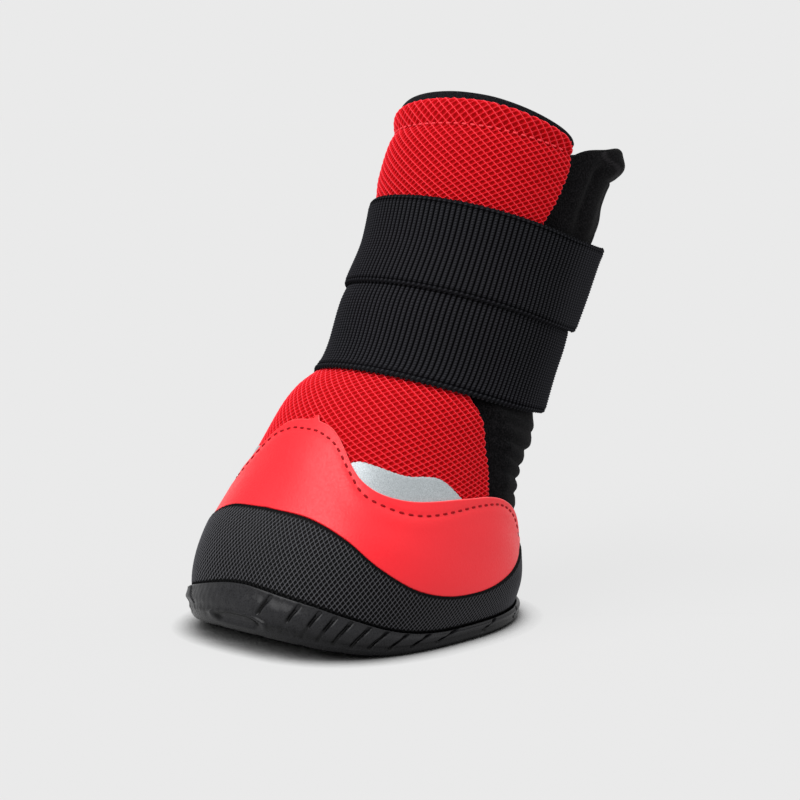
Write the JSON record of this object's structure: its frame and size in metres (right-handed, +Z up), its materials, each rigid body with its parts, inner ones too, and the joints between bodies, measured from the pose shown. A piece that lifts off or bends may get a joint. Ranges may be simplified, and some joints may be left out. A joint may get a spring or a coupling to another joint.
{
  "type": "dog boot",
  "caption": "Dog boot with a rubber cup sole, mesh sock upper, coated toe overlay, soft rear gusset and a wound elastic strap.",
  "frame": {"origin": "on the floor, in the flat middle of the outsole's underside", "axes": "toe towards -Y, the boot's left side +X, +Z up along the shaft"},
  "size_m": [0.0782, 0.1411, 0.1383],
  "materials": {
    "outsole_rubber": "moulded black rubber, semi-matt",
    "insole_felt": "thin dark foam liner with a napped face",
    "red_mesh": "red air mesh with small open cells over a dark red layer",
    "black_fabric": "soft matt black knit with a short nap",
    "rand_rubber": "black rubberised band with fine diagonal ribs",
    "red_coated": "smooth red coated leather, faint grain, soft sheen",
    "silver_tape": "silver grey reflective tape",
    "black_elastic": "black ribbed elastic webbing"
  },
  "bodies": {
    "root": {"outsole": "outsole_rubber", "insole": "insole_felt", "upper": "red_mesh", "rear_gusset": "black_fabric", "rand": "rand_rubber", "toe_overlay": "red_coated", "reflective_strip_left": "silver_tape", "reflective_strip_right": "silver_tape", "strap": "black_elastic"}
  },
  "joints": []
}
